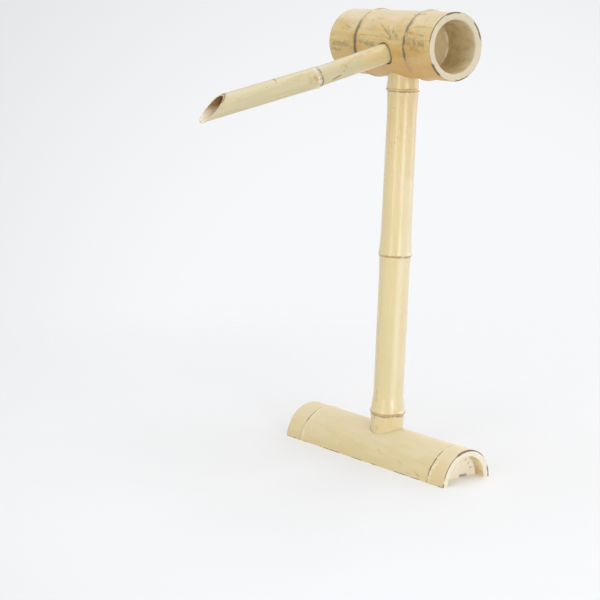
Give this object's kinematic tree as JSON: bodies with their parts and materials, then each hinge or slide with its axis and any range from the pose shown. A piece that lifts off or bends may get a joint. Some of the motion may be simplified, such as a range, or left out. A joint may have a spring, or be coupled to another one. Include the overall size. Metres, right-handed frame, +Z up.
{
  "type": "bamboo water spout",
  "caption": "Free-standing bamboo water spout: half-culm foot, upright culm, swivelling cross culm and a slanted-mouth spout that twists and pulls out, with its hose inside.",
  "frame": {"origin": "post axis on the floor, at the middle of the foot block's underside", "axes": "+X along the half-culm foot towards its right end, +Z up along the post; the spout reaches towards -Y"},
  "size_m": [0.2993, 0.3667, 0.6002],
  "materials": {
    "matte_bamboo": "matte yellow-tan bamboo skin",
    "glossy_bamboo": "glossy pale yellow bamboo skin",
    "brown_bamboo": "satin ochre bamboo skin with grey smudges and sawn pale ends",
    "pale_bamboo": "satin greenish cream bamboo skin",
    "block_wood": "sawn plain timber",
    "screw_steel": "zinc-plated",
    "black_fitting": "moulded black plastic",
    "clear_hose": "milky clear soft vinyl",
    "seal_rubber": "matte black rubber"
  },
  "bodies": {
    "stand": {"base_culm": "matte_bamboo", "foot_block": "block_wood", "block_screw_1": "screw_steel", "block_screw_2": "screw_steel", "block_screw_3": "screw_steel", "block_screw_4": "screw_steel", "inlet_joiner": "black_fitting", "inlet_nut": "black_fitting", "supply_hose": "clear_hose", "foot_elbow": "black_fitting", "riser_hose": "clear_hose", "swivel_joiner": "black_fitting", "post_culm": "glossy_bamboo"},
    "head": {"head_culm": "brown_bamboo", "outlet_hose": "clear_hose"},
    "spout_ring": {"spout_seal": "seal_rubber"},
    "spout": {"spout_culm": "pale_bamboo"}
  },
  "joints": [
    {"name": "head_swivel", "type": "hinge", "parent": "stand", "child": "head", "pos_m": [0, 0, 0.555], "axis": [0, 0, 1], "range_deg": [-60, 60]},
    {"name": "spout_pull", "type": "slide", "parent": "head", "child": "spout_ring", "axis": [-0.1254, -0.9528, -0.2763], "range_m": [0, 0.07]},
    {"name": "spout_twist", "type": "hinge", "parent": "spout_ring", "child": "spout", "pos_m": [0.00754, -0.00099, 0.5538], "axis": [-0.1254, -0.9528, -0.2763], "continuous": true}
  ]
}
